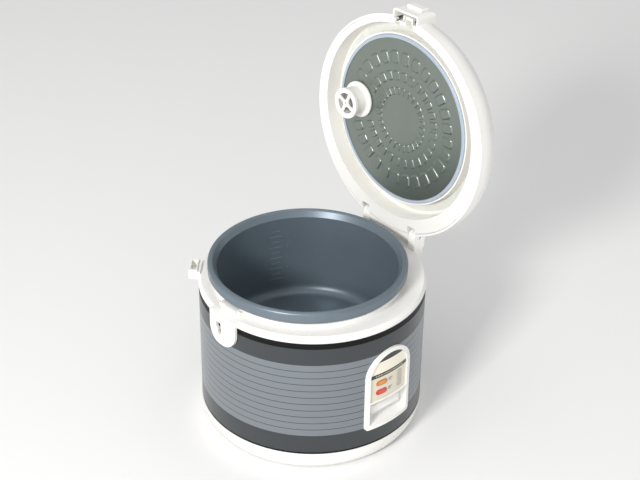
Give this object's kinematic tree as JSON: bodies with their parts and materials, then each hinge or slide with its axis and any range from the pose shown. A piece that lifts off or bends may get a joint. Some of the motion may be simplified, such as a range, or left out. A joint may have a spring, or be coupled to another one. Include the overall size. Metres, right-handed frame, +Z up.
{
  "type": "jar rice cooker",
  "caption": "Round countertop jar rice cooker with its spring lid open over a lift-out pot, a catch and spoon socket on the ring, and an arched panel with lamps and a cook key.",
  "frame": {"origin": "on the floor under the centre of the round body, in the plane of the feet undersides", "axes": "+Z up; control panel faces -Y; lid hinge on +X, lid latch on -X; appliance inlet and the lid steam vent towards +Y"},
  "size_m": [0.3145, 0.2732, 0.4825],
  "materials": {
    "white_plastic": "glossy moulded, faint grain",
    "ivory_plastic": "satin moulded",
    "printed_shell": "printed stripes under clear coat",
    "black_trim": "glossy",
    "foot_rubber": "matte",
    "zinc_steel": "zinc plated",
    "spring_steel": "drawn wire",
    "can_sheet": "galvanised sheet",
    "cast_aluminium": "turned casting",
    "pressed_aluminium": "satin anodised",
    "pot_coating": "blue-grey cooking coat",
    "magnet_iron": "ferrite on a steel rod",
    "brass": "plated",
    "black_plastic": "moulded",
    "plunger_plastic": "moulded",
    "ceramic": "glazed",
    "label_print": "printed panels under clear film",
    "orange_lens": "clear tinted",
    "red_lens": "clear tinted",
    "bulb_glass": "clear",
    "board": "phenolic board",
    "mica_band": "mica in a steel sleeve",
    "fuse_body": "drawn",
    "wire_insulation": "silicone sleeve",
    "silicone": "soft translucent"
  },
  "bodies": {
    "cooker_body": {"base_tray": "white_plastic", "rubber_feet": "foot_rubber", "tie_screws": "zinc_steel", "outer_shell": "printed_shell", "lower_trim": "black_trim", "upper_trim": "black_trim", "top_ring": "white_plastic", "liner_can": "can_sheet", "hot_plate": "cast_aluminium", "element_terminals": "brass", "hotplate_screws": "zinc_steel", "keep_warm_band": "mica_band", "thermal_fuse": "fuse_body", "thermostat_bracket": "can_sheet", "sensor_screws": "zinc_steel", "thermostat_spring": "spring_steel", "lever_pin": "zinc_steel", "lever_bracket": "zinc_steel", "bracket_screws": "zinc_steel", "micro_switch": "black_plastic", "control_bezel": "white_plastic", "control_label": "label_print", "warm_lamp_lens": "orange_lens", "cook_lamp_lens": "red_lens", "lamp_bulbs": "bulb_glass", "lamp_board": "board", "inlet_socket": "black_plastic", "inlet_pins": "brass", "inlet_screws": "zinc_steel", "terminal_block": "ceramic", "wiring": "wire_insulation", "hinge_pin": "zinc_steel", "hinge_spring": "spring_steel"},
    "lid": {"lid_cover": "white_plastic", "lid_liner": "ivory_plastic", "lid_screws": "zinc_steel", "inner_plate": "pressed_aluminium", "plate_gasket": "silicone", "pot_seal": "silicone", "steam_valve_body": "ivory_plastic", "hook_pin": "zinc_steel", "button_spring": "spring_steel"},
    "pot": {"inner_pot": "pot_coating"},
    "valve_cap": {"steam_valve_cap": "ivory_plastic"},
    "vent_cap": {"steam_vent_cap": "white_plastic"},
    "button": {"release_button": "white_plastic"},
    "hook": {"latch_hook": "ivory_plastic"},
    "lever": {"cook_lever": "zinc_steel", "cook_key": "white_plastic"},
    "magnet": {"magnet_rod": "magnet_iron"},
    "plunger": {"switch_plunger": "plunger_plastic"},
    "sensor_cup": {"thermostat_cup": "pressed_aluminium"}
  },
  "joints": [
    {"name": "lid_hinge", "type": "hinge", "parent": "cooker_body", "child": "lid", "pos_m": [0.1327, 0, 0.2052], "axis": [0, 1, 0], "range_deg": [-93, 0], "stiffness_Nm_per_rad": 0.6, "springref_deg": 20.05, "deforming": ["hinge_spring"]},
    {"name": "button_slide", "type": "slide", "parent": "lid", "child": "button", "axis": [-0.0523, 0, -0.9986], "range_m": [0, 0.003], "stiffness_N_per_m": 300, "springref_m": -0.002, "deforming": ["button_spring"]},
    {"name": "hook_pivot", "type": "hinge", "parent": "lid", "child": "hook", "pos_m": [0.14528, 0, 0.4681], "axis": [0, 1, 0], "range_deg": [0, 17.5]},
    {"name": "lever_pivot", "type": "hinge", "parent": "cooker_body", "child": "lever", "pos_m": [-0.0073, -0.06, 0.054], "axis": [1, 0, 0], "range_deg": [0, 3.8]},
    {"name": "magnet_slide", "type": "slide", "parent": "cooker_body", "child": "magnet", "axis": [0, 0, 1], "range_m": [0, 0.0041]},
    {"name": "plunger_slide", "type": "slide", "parent": "cooker_body", "child": "plunger", "axis": [0, 0, 1], "range_m": [0, 0.0012]},
    {"name": "sensor_slide", "type": "slide", "parent": "cooker_body", "child": "sensor_cup", "axis": [0, 0, 1], "range_m": [-0.002, 0], "stiffness_N_per_m": 400, "springref_m": 0.003, "deforming": ["thermostat_spring"]},
    {"name": "pot_lift", "type": "slide", "parent": "cooker_body", "child": "pot", "axis": [0, 0, 1], "range_m": [0, 0.17]},
    {"name": "vent_cap_pull", "type": "slide", "parent": "lid", "child": "vent_cap", "axis": [0.9986, 0, -0.0523], "range_m": [0, 0.03]},
    {"name": "valve_cap_pull", "type": "slide", "parent": "lid", "child": "valve_cap", "axis": [0.9986, 0, -0.0523], "range_m": [-0.02, 0]}
  ],
  "couplings": [
    {"joint": "hook_pivot", "follows": "button_slide", "rad_per_m": 100},
    {"joint": "magnet_slide", "follows": "lever_pivot", "m_per_rad": 0.06},
    {"joint": "plunger_slide", "follows": "lever_pivot", "m_per_rad": 0.017}
  ]
}
